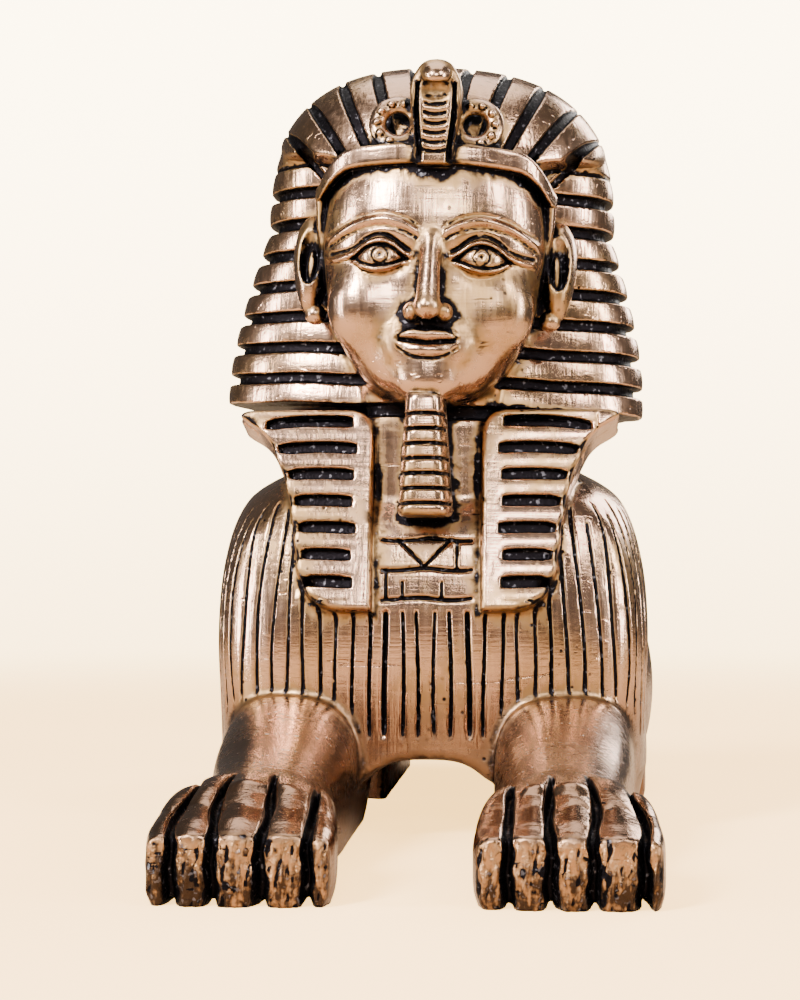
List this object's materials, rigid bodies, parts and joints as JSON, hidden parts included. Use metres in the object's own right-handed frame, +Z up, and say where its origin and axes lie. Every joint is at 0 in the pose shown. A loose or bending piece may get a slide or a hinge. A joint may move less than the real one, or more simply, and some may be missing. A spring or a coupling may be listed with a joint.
{
  "type": "sphinx statue",
  "caption": "Reclining sphinx statuette: a lion's body with forelegs stretched out and a royal head in a pleated headcloth with lappets, plaited beard and rearing cobra.",
  "frame": {"origin": "middle of the bounding box in plan, on the plane that the paws and haunches stand on", "axes": "+Z up, -Y out of the figure's chest towards its forepaws, +X towards the figure's left side"},
  "size_m": [0.097, 0.2141, 0.1518],
  "materials": {
    "bronze": "antiqued cast bronze: high spots polished to rose-gold, recesses left with near-black patina, rough-cast brown paw fronts"
  },
  "bodies": {
    "root": {"sphinx_statue": "bronze"}
  },
  "joints": []
}
